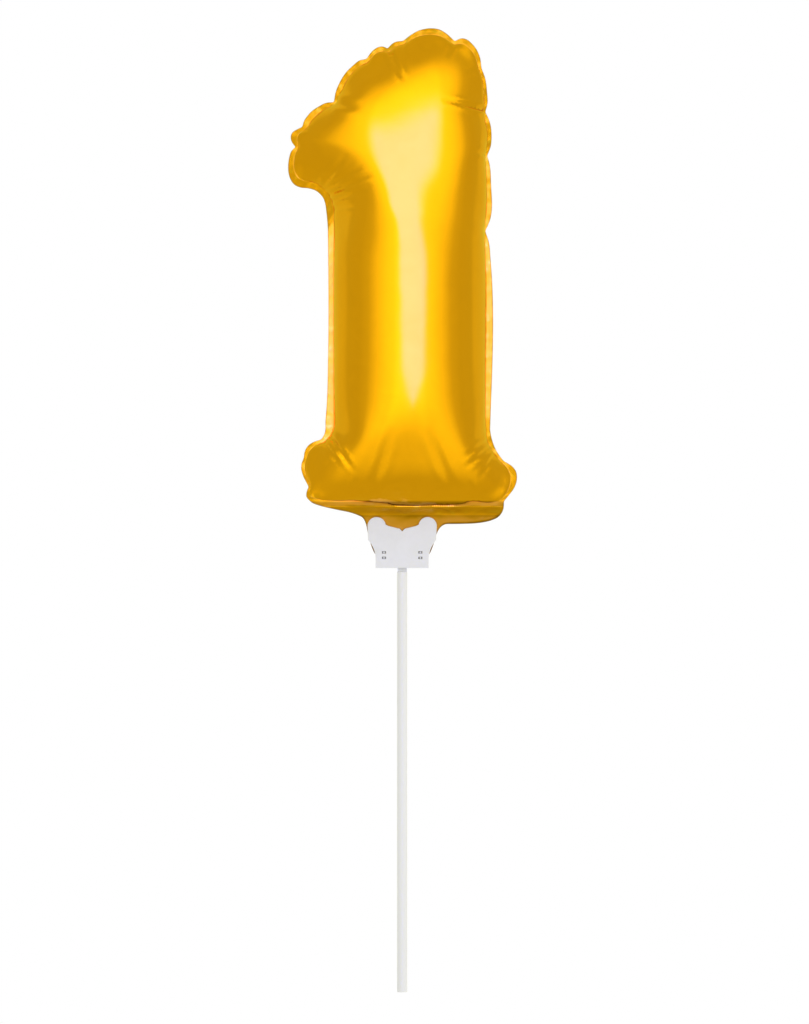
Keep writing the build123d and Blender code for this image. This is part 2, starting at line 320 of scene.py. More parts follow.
def gold_foil():
    """Metallised gold film: mirror bright, faintly smeared, pressed and puckered along the seal, with painted
    glints on the seal and painted shade under the base's seam.
    """
    material, tree, shader, place = new_material("gold_foil")
    sealed = new_node(tree, "ShaderNodeAttribute")
    sealed.attribute_name = "seal"
    sealed = sealed.outputs["Fac"]
    marks = place_group(tree, HANDLING, Vector=place, Patch_Scale=18.0, Smear_Scale=70.0).outputs["Mask"]
    pressed = place_group(tree, SEAL, Vector=place, Press_Pitch=320.0, Pucker_Scale=240.0)
    # painted glints: where the seal is crumpled its colour turns a paler gold, a painted highlight for the
    # sparkle of its crinkles
    glints = sum_of(tree, "MULTIPLY", sealed, pressed.outputs["Glints"])
    plain = mix_colours(tree, marks, (1.0, 0.462, 0.045), (0.97, 0.445, 0.04))
    colour = new_node(tree, "ShaderNodeMix")
    colour.data_type = "RGBA"
    tree.links.new(glints, colour.inputs[0])
    tree.links.new(plain, colour.inputs[6])
    colour.inputs[7].default_value = (1.0, 0.55, 0.12, 1)
    # painted shade: below the base's seam the film's colour is darkened in bands, but not on its small rolls
    above = new_node(tree, "ShaderNodeSeparateXYZ", _0=place).outputs[2]
    above = new_node(tree, "ShaderNodeMapRange", Value=above, From_Min=PAINTED_SHADE_SPAN[0], From_Max=PAINTED_SHADE_SPAN[1])
    unshaded_share = ramp_of(tree, above.outputs[0], [(at, (share,) * 3) for at, share in PAINTED_SHADE_BANDS], "LINEAR")
    bead = new_node(tree, "ShaderNodeAttribute")
    bead.attribute_name = "bead"
    bead = new_node(tree, "ShaderNodeMapRange", Value=bead.outputs["Fac"], From_Min=0.3, From_Max=0.6)
    unshaded_share = sum_of(tree, "MAXIMUM", unshaded_share, bead.outputs[0])
    film_colour = colour.outputs[2]
    for towards in ((1.0, 0.46, 0.0), (0.0, 0.0, 0.0)):
        shade_mix = new_node(tree, "ShaderNodeMix")
        shade_mix.data_type = "RGBA"
        tree.links.new(unshaded_share, shade_mix.inputs[0])
        tree.links.new(film_colour, shade_mix.inputs[7])
        shade_mix.inputs[6].default_value = (*towards, 1)
        film_colour = shade_mix.outputs[2]
    tree.links.new(film_colour, shader.inputs["Base Color"])
    shader.inputs["Metallic"].default_value = 1.0
    rough = sum_of(tree, "MULTIPLY_ADD", marks, 0.03, 0.115)
    rough = sum_of(tree, "MULTIPLY_ADD", sealed, 0.06, rough)
    tree.links.new(rough, shader.inputs["Roughness"])
    ripple = new_node(tree, "ShaderNodeTexNoise", Vector=place, Scale=45.0, Detail=1.0)
    height = sum_of(tree, "MULTIPLY", pressed.outputs["Height"], sealed)
    height = sum_of(tree, "MULTIPLY_ADD", ripple.outputs["Fac"], 0.25, height)
    bump = new_node(tree, "ShaderNodeBump", Height=height, Strength=1.0, Distance=0.0007)
    tree.links.new(bump.outputs[0], shader.inputs["Normal"])
    return material


def clear_film():
    """Thin clear valve film, slightly cloudy where it has been handled."""
    material, tree, shader, place = new_material("clear_film")
    marks = place_group(tree, HANDLING, Vector=place, Patch_Scale=60.0, Smear_Scale=200.0).outputs["Mask"]
    colour = mix_colours(tree, marks, (0.94, 0.96, 0.97), (0.86, 0.89, 0.9))
    tree.links.new(colour, shader.inputs["Base Color"])
    tree.links.new(sum_of(tree, "MULTIPLY_ADD", marks, 0.12, 0.08), shader.inputs["Roughness"])
    shader.inputs["IOR"].default_value = 1.45
    shader.inputs["Transmission Weight"].default_value = 0.85
    grain = place_group(tree, GRAIN, Vector=place, Grain_Scale=1500.0, Wave_Scale=120.0)
    bump = new_node(tree, "ShaderNodeBump", Height=grain.outputs["Height"], Strength=0.3, Distance=0.0002)
    tree.links.new(bump.outputs[0], shader.inputs["Normal"])
    return material


def white_plastic(name, colour, shaded, rough, stretch, relief):
    """White satin plastic; stretch draws its grain out along the stick."""
    material, tree, shader, place = new_material(name)
    drawn = new_node(tree, "ShaderNodeMapping", Vector=place, Scale=(1.0, 1.0, stretch)).outputs[0]
    marks = place_group(tree, HANDLING, Vector=drawn, Patch_Scale=40.0, Smear_Scale=160.0).outputs["Mask"]
    grain = place_group(tree, GRAIN, Vector=drawn, Grain_Scale=2600.0, Wave_Scale=420.0)
    share = sum_of(tree, "MULTIPLY_ADD", grain.outputs["Specks"], 0.35, marks)
    tree.links.new(mix_colours(tree, share, colour, shaded), shader.inputs["Base Color"])
    tree.links.new(sum_of(tree, "MULTIPLY_ADD", marks, 0.1, rough), shader.inputs["Roughness"])
    shader.inputs["Specular IOR Level"].default_value = 0.3
    shader.inputs["Subsurface Weight"].default_value = 0.08
    shader.inputs["Subsurface Radius"].default_value = (1.0, 0.95, 0.9)
    shader.inputs["Subsurface Scale"].default_value = 0.0006
    bump = new_node(tree, "ShaderNodeBump", Height=grain.outputs["Height"], Strength=0.5, Distance=relief)
    tree.links.new(bump.outputs[0], shader.inputs["Normal"])
    return material


def painted_floor():
    material, tree, shader, place = new_material("studio_paper")
    marks = place_group(tree, HANDLING, Vector=place, Patch_Scale=1.0, Smear_Scale=3.0).outputs["Mask"]
    colour = mix_colours(tree, marks, (0.9, 0.9, 0.89), (0.88, 0.88, 0.87))
    tree.links.new(colour, shader.inputs["Base Color"])
    shader.inputs["Roughness"].default_value = 0.9
    return material


GOLD = gold_foil()
CLEAR = clear_film()
CLIP_WHITE = white_plastic("clip_plastic", (0.845, 0.85, 0.85), (0.815, 0.82, 0.82), 0.42, 1.0, 0.00006)
# painted shade: the white posts' plastic is coloured dark grey for the shade inside the front plate's windows
CLIP_PAINTED_SHADE = white_plastic(
    "clip_plastic_painted_shade", (0.3, 0.31, 0.33), (0.24, 0.25, 0.27), 0.5, 1.0, 0.00004)
STICK_WHITE = white_plastic("stick_plastic", (0.88, 0.88, 0.87), (0.85, 0.85, 0.84), 0.33, 0.06, 0.00008)
lay_floor(painted_floor())

# ---------------------------------------------------------------- foil: flat pattern

CELL = 3.5  # of the film's mesh

# Corners of the seam as it is cut flat: name, across, up, and how far the run to the next corner bows out.
# Most of them were found by inflating trial patterns and moving their corners.
FLAT_SEAM = [
    ("base_left", -56.5, 9.9, 0.0),
    ("neck_left", -22.0, 7.4, 0.0),
    ("base_middle", 3.5, 5.5, 0.0),
    ("neck_right", 27.0, 8.1, 0.0),
    ("base_right", 59.7, 11.6, 4.0),
    ("right_foot", 69.4, 35.0, -2.5),
    ("right_low", 66.7, 64.3, 0.0),
    ("right_high", 68.1, 183.3, 2.0),
    ("shoulder_low", 67.0, 232.0, 1.5),
    ("shoulder", 61.0, 262.3, 2.0),
    ("shoulder_high", 51.5, 289.8, 3.0),
    ("top_right", 33.2, 305.4, 3.0),
    ("top_middle", -0.2, 309.6, 0.8),
    ("top_fold", -10.8, 305.6, 1.2),
    ("top_left", -26.4, 301.0, 2.5),
    ("flag_root", -53.4, 281.2, 2.5),
    ("flag_top", -73.0, 262.8, 1.2),
    ("flag_tip", -79.7, 252.3, 4.0),
    ("flag_foot", -82.2, 227.8, 1.0),
    ("flag_corner", -74.0, 209.2, -5.0),
    ("left_high", -71.0, 186.4, 0.0),
    ("left_low", -63.1, 64.7, -2.5),
    ("foot_top", -65.2, 47.5, 1.5),
    ("foot_pinch", -67.5, 32.6, 1.5),
    ("foot_low", -61.6, 16.0, 1.5),
]
FLAT_TO_FRAME = (4.4, 272.7)  # moves the flat pattern's middle and lower edge to their places

# Outer edge of the sealed margin, from each corner up to the next, as (x, z)
MARGIN_EDGE = {
    "base_left": [(-57.5, 297), (-54.1, 293.6), (-49.3, 291.8), (-39.3, 289.5), (-29.2, 287.2)],
    "neck_left": [(-23.6, 284.9), (-21.6, 281), (-20.8, 276), (-18.6, 268), (-15.6, 261.5), (-11, 257.6)],
    "base_middle": [(4.4, 257.6), (11, 257.6), (15.6, 261.5), (18.6, 268), (20.8, 275.2), (22.5, 278.6)],
    "neck_right": [(25.7, 280.8), (36, 280.9), (46.7, 281.5), (52.7, 282.7), (58.1, 285.3), (60.8, 289.8)],
    "base_right": [(60.8, 294.4), (64.1, 298.2), (67.5, 303), (68.9, 308.4), (68.5, 312), (66.5, 315)],
    "right_foot": [(60.8, 318.6), (56.9, 324), (53.9, 331.2)],
    "right_low": [(52.7, 337.2), (53, 345), (53, 440), (52, 450)],
    "right_high": [(49.8, 456.6), (52.3, 462), (53.3, 485.4), (52.6, 496)],
    "shoulder_low": [(51, 501.9), (53, 507), (53.6, 514.8), (52.6, 522)],
    "shoulder": [(49.8, 528.2), (51.2, 533), (50.9, 540), (49.9, 548)],
    "shoulder_high": [(47.5, 554.5), (46.9, 560), (44.9, 565.2), (41.5, 569.5), (38.3, 572), (35, 572.3)],
    "top_right": [(31.7, 570.3), (27, 574.8), (22, 577.8), (17.3, 578.4), (10, 577), (4.5, 573.8)],
    "top_middle": [(0.5, 570.6), (-3.7, 570.3), (-6.6, 568.6)],
    "top_fold": [(-8.7, 566), (-11.2, 567.4), (-14.5, 567), (-18.5, 564)],
    "top_left": [(-21.4, 559.8), (-25.8, 559), (-29.5, 556), (-34, 551.5), (-37.2, 546.4), (-39.9, 540)],
    "flag_root": [(-40.9, 533.9), (-45.7, 533.6), (-50.6, 531.1),
                  (-54.4, 528.5), (-56.8, 525.8), (-59, 522.5)],
    "flag_top": [(-59.8, 519.1), (-63.5, 517.5), (-66.4, 515.5), (-67, 512.8), (-66, 509.5)],
    "flag_tip": [(-63.6, 506.9), (-66.2, 505.3), (-67.6, 501.5), (-68.4, 496.2),
                 (-68.2, 491.5), (-67.1, 487.8),
                 (-64.4, 484.2)],
    "flag_foot": [(-60.2, 482.7), (-55.9, 482.3), (-52.3, 481.2), (-49.3, 479.1), (-47.2, 476.4)],
    "flag_corner": [(-46, 472.5), (-45.2, 466)],
    "left_high": [(-44.6, 459), (-44.5, 450), (-44.5, 380), (-45.3, 352)],
    "left_low": [(-46, 343.2), (-46.6, 334.9)],
    "foot_top": [(-48.5, 331.5), (-53.5, 329.9), (-56.7, 327.6), (-58.6, 324)],
    "foot_pinch": [(-59, 320.2), (-60.5, 316.8), (-60.6, 314), (-59.5, 310), (-57.6, 306)],
    "foot_low": [(-55.9, 303), (-57.2, 300.5)],
}


# The seam of the blown-up balloon, from each corner up to the next, as (x, z)
SEAM_LINE = {
    "base_left": [(-54.6, 297), (-48, 295.3), (-40, 295.2), (-33.5, 295.6), (-30.1, 297), (-27, 295.7)],
    "neck_left": [(-22, 295), (-12, 294), (-6, 292.9)],
    "base_middle": [(4.4, 292.6), (12, 292.7), (19, 292.9)],
    "neck_right": [(26, 293), (33, 292.8), (38, 293.8), (42.5, 295.3), (47, 294), (52, 293.6)],
    "base_right": [(58.5, 294.6), (62, 298.5), (64.6, 304), (65, 309.5), (63.5, 314)],
    "right_foot": [(60, 317.5), (55.5, 323), (51.5, 330)],
    "right_low": [(49.7, 338), (49.7, 345), (49.7, 440)],
    "right_high": [(48.8, 456.6), (49.8, 463), (50.5, 483), (50, 495)],
    "shoulder_low": [(49.4, 501.9), (50.6, 507), (51.1, 514.8), (50.2, 522)],
    "shoulder": [(48.4, 528.2), (49.3, 534), (49, 541), (47.8, 549)],
    "shoulder_high": [(45.8, 554.2), (44.6, 559.5), (41.8, 564.8), (38, 568.4), (34.5, 569.3)],
    "top_right": [(31.3, 568.3), (26, 572), (21, 574.2), (16.5, 574.6), (9.5, 573.4), (4.5, 571)],
    "top_middle": [(0.6, 568.6), (-3.9, 567.6)],
    "top_fold": [(-7.9, 563.8), (-11, 564.5), (-14.6, 563.9), (-18, 561.2)],
    "top_left": [(-20.6, 557.9), (-25, 556), (-28.5, 553.1), (-32.5, 548.6), (-35.2, 543.6), (-37.6, 537.5)],
    "flag_root": [(-39.6, 532.6), (-45, 530.6), (-49, 528.1), (-52.4, 525.3), (-54.8, 522.2)],
    "flag_top": [(-57.8, 517.8), (-61.3, 515.6), (-63.2, 513)],
    "flag_tip": [(-62, 507), (-64, 503.5), (-65, 498), (-64.4, 491.8), (-62, 488.2)],
    "flag_foot": [(-58, 486.6), (-52.5, 485.6), (-48.4, 483.6), (-45.5, 481)],
    "flag_corner": [(-43.2, 477.5), (-41.6, 472)],
    "left_high": [(-40.9, 463), (-40.9, 455), (-40.9, 360)],
    "left_low": [(-40.9, 342), (-42.5, 335)],
    "foot_top": [(-47, 330), (-52.5, 327.8), (-55.3, 325.2), (-57, 322)],
    "foot_pinch": [(-57.6, 319.8), (-58.6, 315.5), (-57.6, 310), (-56, 306)],
    "foot_low": [(-54.8, 303), (-54.8, 299.8)],
}
MARGIN_TILT = 0.65  # of the margin backwards, as a slope
STRAIGHT_TILT = {"right_low": 0.24, "left_high": 0.02, "left_low": 0.08, "right_high": 0.36}
BASE_LEAN = 5.0  # how far the base's seam stands in front of the tail
LEAN_BETWEEN = (295, 318)
SEAM_WAVE = 0.4  # share of the seam's own forward and backward wandering that is kept

# Creases pressed into the skin: start and end as (x, z), half width and depth
CREASES = [
    ((-18, 300), (-6.5, 339), 2.4, 1.0), ((30, 300), (15.5, 339), 2.4, 1.0),
    ((51, 529), (24, 534), 1.3, 2.0),
    ((-8, 565.5), (1, 545), 1.3, 2.0),
    ((-40, 533), (-24, 529), 2.4, 1.2),
    ((0, 569), (2, 560), 1.3, 0.8),
    ((31, 569), (27, 560), 1.3, 0.8),
    ((46.5, 555), (38, 551), 1.3, 0.8),
    ((50, 502), (42, 503), 1.3, 0.8),
    ((-58, 518), (-49, 511), 1.3, 0.8),
    ((-47, 484), (-33, 501), 1.5, 1.1),
    ((-45, 482), (-24, 493), 1.4, 1.4),
    ((-43.5, 479), (-17, 488), 1.5, 1.5),
    ((-42, 475), (-20, 479), 1.4, 1.1),
    ((-41, 470), (-27, 470), 1.3, 0.8),
    ((-43, 333), (-28, 311), 1.3, 1.4),
    ((-47, 330), (-37, 316), 1.2, 0.9),
    ((-57, 319.5), (-49, 318), 1.2, 0.8),
    ((51.5, 330), (37, 321), 1.4, 0.9),
    ((53, 327), (37, 314), 1.4, 1.1),
    ((56, 322), (46, 308), 1.3, 0.9),
    ((-30, 297), (-27, 308), 1.5, 1.3),
    ((42.5, 295), (40, 307), 1.5, 1.3),
]


def bowed_run(start, end, bow, step):
    """Points from start up to end, along an arc that bows out to the right by bow."""
    start, end = np.array(start), np.array(end)
    chord = np.linalg.norm(end - start)
    count = max(1, round(chord / step))
    share = np.linspace(0, 1, count, endpoint=False)
    along = (end - start) / chord
    out = np.array([along[1], -along[0]])
    rise = 4 * bow * share * (1 - share)
    return start + np.outer(share * chord, along) + np.outer(rise, out)


def flat_seam():
    """The seam's points in the flat, and the place of each named corner among them."""
    runs, corners = [], {}
    for this, after in zip(FLAT_SEAM, FLAT_SEAM[1:] + FLAT_SEAM[:1]):
        corners[this[0]] = sum(len(run) for run in runs)
        runs.append(bowed_run(this[1:3], after[1:3], this[3], CELL))
    return np.concatenate(runs), corners


def inside(outline, points):
    x, y = points.T
    crossings = np.zeros(len(points), int)
    for (x0, y0), (x1, y1) in zip(outline, np.roll(outline, -1, 0)):
        crossings += ((y0 > y) != (y1 > y)) & (x < (x1 - x0) * (y - y0) / (y1 - y0 + 1e-12) + x0)
    return crossings % 2 == 1


def distance_to(outline, points):
    nearest = np.full(len(points), np.inf)
    for start, end in zip(outline, np.roll(outline, -1, 0)):
        run = end - start
        share = np.clip((points - start) @ run / (run @ run), 0, 1)
        nearest = np.minimum(nearest, np.linalg.norm(points - start - share[:, None] * run, axis=1))
    return nearest


def flat_film(seam):
    """Points and triangles of one film cut to the seam; the seam's points come first."""
    low, high = seam.min(0), seam.max(0)
    rows = []
    for row, up in enumerate(np.arange(low[1], high[1], CELL * math.sqrt(3) / 2)):
        across = np.arange(low[0] + CELL / 2 * (row % 2), high[0], CELL)
        rows.append(np.stack([across, np.full(len(across), up)], 1))
    lattice = np.concatenate(rows)
    lattice = lattice[inside(seam, lattice)]
    lattice = lattice[distance_to(seam, lattice) > 0.6 * CELL]
    points = np.concatenate([seam, lattice])
    ring = [(i, (i + 1) % len(seam)) for i in range(len(seam))]
    made = delaunay_2d_cdt([Vector(p) for p in points], ring, [], 1, 1e-6)
    triangles = np.array(made[2])
    return points, triangles[inside(seam, points[triangles].mean(1))]


# ---------------------------------------------------------------- foil: inflation

CLOTH_UNIT = 0.01  # cloth units for each millimetre
INFLATION_FRAMES = 34
FIRST_GAP = 2.8  # between the films' middles and the seam's plane before inflation


def inflate(points, triangles, seam_count):
    """Blows up two films joined at their seam; returns seam, front and back points in mm."""
    depth = np.minimum(distance_to(points[:seam_count], points), 12) / 12
    lift = 0.3 + (FIRST_GAP - 0.3) * np.sqrt(depth)
    lift[:seam_count] = 0
    front = np.stack([points[:, 0], -lift, points[:, 1]], 1)
    back = front[seam_count:] * (1, -1, 1)
    shift = np.where(triangles >= seam_count, triangles + len(back), triangles)
    mesh = bpy.data.meshes.new("inflating")
    faces = triangles.tolist() + shift[:, ::-1].tolist()
    mesh.from_pydata((np.concatenate([front, back]) * CLOTH_UNIT).tolist(), [], faces)
    film = bpy.data.objects.new("inflating", mesh)
    bpy.context.collection.objects.link(film)
    cloth = film.modifiers.new("cloth", "CLOTH")
    feel = cloth.settings
    feel.quality = 6
    feel.mass = 0.3 * (CELL / 5) ** 2
    feel.tension_stiffness = feel.compression_stiffness = 120
    feel.shear_stiffness = 60
    feel.bending_stiffness = 0.4
    feel.tension_damping = feel.compression_damping = feel.shear_damping = 5
    feel.bending_damping = 0.5
    feel.air_damping = 1
    feel.use_pressure = True
    feel.uniform_pressure_force = 12
    feel.effector_weights.gravity = 0
    cloth.collision_settings.use_collision = False
    cloth.collision_settings.use_self_collision = False
    cloth.point_cache.frame_start = 1
    cloth.point_cache.frame_end = INFLATION_FRAMES
    scene = bpy.context.scene
    scene.frame_end = INFLATION_FRAMES
    for number in range(1, INFLATION_FRAMES + 1):
        scene.frame_set(number)
    shaped = film.evaluated_get(bpy.context.evaluated_depsgraph_get()).to_mesh()
    place = np.zeros(len(shaped.vertices) * 3)
    shaped.vertices.foreach_get("co", place)
    place = place.reshape(-1, 3) / CLOTH_UNIT + (FLAT_TO_FRAME[0], 0, FLAT_TO_FRAME[1])
    bpy.data.objects.remove(film)
    bpy.data.meshes.remove(mesh)
    scene.frame_set(1)
    return place[:seam_count], place[seam_count:len(points)], place[len(points):]


# ---------------------------------------------------------------- foil: sheets

MARGIN_RINGS = (0.03, 0.06, 0.1, 0.15, 0.22, 0.32, 0.5, 0.75, 1.0)
FILM = 0.12
SEAM_SHARPNESS = 0.9
SEALED_HALF = 0.14  # from the seam's plane to the outside of the sealed margin
TAIL_HALF = 0.26  # and to the outside of the tail, which also holds the valve's strips
NECK_CHANNEL = (5.0, 12.0, 288.8, 5.2)  # middle and half width across, then up
NECK_PUFF = 1.3
TAIL_GRIPPED = 286.7  # below this the tail hangs straight
BASE_SEAM = 291.0
NECK_BEADS = [(-6.5, 12.5), (16.5, 33)]  # small rolls of film just under the base's seam
BEAD_HEIGHT = 291.5
BEAD_HALF = 0.75
BEAD_RISE = 0.3
STRAIGHT_PUCKER = -0.55  # change in the puckering along the stem's straight margin, as a share


def smooth_curve(points, shares):
    """A smooth curve through points, at shares of its length."""
    points = np.array(points, float)
    steps = np.linalg.norm(np.diff(points, axis=0), axis=1)
    knots = np.concatenate([[0], np.cumsum(steps)])
    slope = np.diff(points, axis=0) / steps[:, None]
    lean = np.empty_like(points)
    lean[0], lean[-1] = slope[0], slope[-1]
    weight = (steps[:-1] / (steps[:-1] + steps[1:]))[:, None]
    lean[1:-1] = slope[:-1] * (1 - weight) + slope[1:] * weight
    at = np.asarray(shares) * knots[-1]
    k = np.clip(np.searchsorted(knots, at, side="right") - 1, 0, len(steps) - 1)
    h = steps[k][:, None]
    t = ((at - knots[k]) / steps[k])[:, None]
    return (
        points[k] * (1 + 2 * t) * (1 - t) ** 2
        + lean[k] * h * t * (1 - t) ** 2
        + points[k + 1] * t * t * (3 - 2 * t)
        + lean[k + 1] * h * t * t * (t - 1)
    )


def eased(value, low, high):
    share = np.clip((value - low) / (high - low), 0, 1)
    return share * share * (3 - 2 * share)


def line_round(table, corners, seam_count, finer):
    """A closed line given corner by corner, at finer points for each point of the seam."""
    names = [corner[0] for corner in FLAT_SEAM]
    line = []
    for name, after in zip(names, names[1:] + names[:1]):
        count = ((corners[after] or seam_count) - corners[name]) * finer
        line.append(smooth_curve(table[name] + table[after][:1], np.arange(count) / count))
    return np.concatenate(line)


def margin_tilts(corners, seam_count):
    """The margin's backward slope, at each point and middle of the seam."""
    tilts = np.full(seam_count, MARGIN_TILT)
    for name, after in zip(FLAT_SEAM, FLAT_SEAM[1:] + FLAT_SEAM[:1]):
        if name[0] in STRAIGHT_TILT:
            tilts[corners[name[0]]:corners[after[0]] or seam_count] = STRAIGHT_TILT[name[0]]
    for _ in range(6):
        tilts = (np.roll(tilts, 1) + 2 * tilts + np.roll(tilts, -1)) / 4
    return np.repeat(tilts, 2)


STEM_MIDDLE = 4.4
STEM_RADIUS = 45.3
ROUND_ABOVE = (316, 372)
ROUND_BELOW = (430, 470)
STEM_LEAN = 0.055  # share of the depth lost towards the base
STEM_LEAN_BETWEEN = (346, 432)

FLAT_TOP = 41.0  # depth at which the skin flattens off, beside the flag
FLAT_TOP_FROM = (462, 502)

# How far the skin swells out over its own seam, and how much more at the base
SWELL = 1.1
BASE_SWELL = 1.3
BASE_SWELL_BETWEEN = (297, 312)
SWELL_REACH = 7.0

# How firmly the skin keeps its blown-up shape while its small buckles are ironed out
KEEP_SHAPE = 0.008
KEEP_CORNER = 0.0002
LOOSE_CORNER = (-34, 480)  # where the flag meets the stem
LOOSE_REACH = (22, 48)


def neighbours_of(triangles, count, total):
    """For each point off the seam, its neighbours and which of them are real, as two even tables."""
    beside = [set() for _ in range(total)]
    for a, b, c in triangles.tolist():
        beside[a] |= {b, c}
        beside[b] |= {a, c}
        beside[c] |= {a, b}
    beside = beside[count:]
    most = max(map(len, beside))
    table = np.zeros((len(beside), most), int)
    real = np.zeros((len(beside), most, 1))
    for row, others in enumerate(beside):
        table[row, :len(others)] = sorted(others)
        real[row, :len(others)] = 1
    return table, real


def settle(push, load, rounds):
    """Solves push(answer) = load by conjugate gradients; push is symmetric and positive."""
    answer = np.zeros_like(load)
    rest = load.copy()
    way = rest.copy()
    size = (rest * rest).sum(0)
    for _ in range(rounds):
        pushed = push(way)
        step = size / np.maximum((way * pushed).sum(0), 1e-30)
        answer += step * way
        rest -= step * pushed
        fresh = (rest * rest).sum(0)
        way = rest + fresh / np.maximum(size, 1e-30) * way
        size = fresh
    return answer


def shaped(skin):
    """The skin with its stem brought to a true round, and flattened a little beside the flag."""
    off = skin - (STEM_MIDDLE, 0, 0)
    out = np.hypot(off[:, 0], off[:, 1])
    share = eased(skin[:, 2], *ROUND_ABOVE) * (1 - eased(skin[:, 2], *ROUND_BELOW))
    grow = 1 + share * (STEM_RADIUS / np.maximum(out, 1) - 1)
    skin = np.stack([STEM_MIDDLE + off[:, 0] * grow, off[:, 1] * grow, skin[:, 2]], 1)
    skin[:, 1] *= 1 - STEM_LEAN * (1 - eased(skin[:, 2], *STEM_LEAN_BETWEEN))
    deep = np.abs(skin[:, 1])
    flatter = deep / (1 + (deep / FLAT_TOP) ** 8) ** 0.125
    skin[:, 1] = np.sign(skin[:, 1]) * (deep + eased(skin[:, 2], *FLAT_TOP_FROM) * (flatter - deep))
    return skin


def swelled(skin, line):
    """The skin pushed out over the seam line, most where it is close to it."""
    flat = skin[:, [0, 2]]
    nearest, out = np.full(len(skin), np.inf), np.zeros_like(flat)
    for start, end in zip(line, np.roll(line, -1, 0)):
        run = end - start
        share = np.clip((flat - start) @ run / (run @ run), 0, 1)
        away = np.linalg.norm(flat - start - share[:, None] * run, axis=1)
        closer = away < nearest
        nearest[closer] = away[closer]
        out[closer] = (run[1], -run[0]) / np.linalg.norm(run)
    amount = SWELL + BASE_SWELL * (1 - eased(skin[:, 2], *BASE_SWELL_BETWEEN))
    amount *= 1 - eased(nearest, 0, SWELL_REACH)
    return skin + amount[:, None] * np.stack([out[:, 0], np.zeros(len(skin)), out[:, 1]], 1)


def iron(seam, set_seam, front, back, triangles):
    """Draws the skin to the set seam and smooths its small buckles, seam held; returns front and back."""
    count, inner = len(seam), len(front)
    table, real = neighbours_of(triangles, count, count + inner)
    degree = real.sum(1)

    def bend(at_seam, at_skin):
        whole = np.concatenate([at_seam, at_skin])
        return (degree * at_skin - (whole[table] * real).sum(1)) / 6

    def bend_skin(skin):
        return bend(np.zeros((count, skin.shape[1])), skin)

    still = np.zeros((inner, 3))
    moved = settle(bend_skin, -bend(set_seam - seam, still), 400)
    wanted = np.hstack([shaped(front + moved), shaped(back + moved)])
    away = np.linalg.norm(wanted[:, [0, 2]] - LOOSE_CORNER, axis=1)
    keep = (KEEP_CORNER + (KEEP_SHAPE - KEEP_CORNER) * eased(away, *LOOSE_REACH))[:, None]
    held = bend(np.hstack([set_seam, set_seam]), np.zeros((inner, 6)))
    load = keep * wanted - bend_skin(held)
    smooth = settle(lambda skin: bend_skin(bend_skin(skin)) + keep * skin, load, 900)
    line = set_seam[:, [0, 2]]
    return swelled(smooth[:, :3], line), swelled(smooth[:, 3:], line)


BASE_CREASES_BELOW = 306  # creases that start below this fade in slowly
BASE_CREASE_START = 0.42


def press_creases(sheet):
    """Presses the creases into a film's skin, deepest at the seam."""
    mesh = sheet.data
    count = len(mesh.vertices)
    place, normal, seal = np.empty(count * 3), np.empty(count * 3), np.empty(count)
    mesh.vertices.foreach_get("co", place)
    mesh.vertices.foreach_get("normal", normal)
    mesh.attributes["seal"].data.foreach_get("value", seal)
    place, normal = place.reshape(-1, 3), normal.reshape(-1, 3)
    flat = place[:, [0, 2]] / MM
    push = np.zeros(count)
    for start, end, width, depth in CREASES:
        start, run = np.array(start), np.array(end) - np.array(start)
        share = (flat - start) @ run / (run @ run)
        off = (flat - start - np.clip(share, 0, 1)[:, None] * run)
        off = np.linalg.norm(off, axis=1) / width
        full = BASE_CREASE_START if start[1] < BASE_CREASES_BELOW else 0.12
        fade = np.clip(1 - share, 0, 1) * eased(share, -0.12, full)
        push += depth * fade * (np.exp(-off ** 2) - 0.55 * np.exp(-(off - 1.9) ** 2))
    push *= np.clip(1 - 2 * seal, 0, 1)
    place -= normal * push[:, None] * MM
    mesh.vertices.foreach_set("co", place.ravel())
    mesh.update()


def puckered(along):
    """How far the free edge stands out of the margin's plane, by the distance along it."""
    return (
        0.5 * np.sin(along / 0.86 + 1.4 * np.sin(along / 17))
        + 0.3 * np.sin(along / 1.9 + 2.0 * np.sin(along / 31))
        + 0.25 * np.sin(along / 4.7 + 0.8)
    )


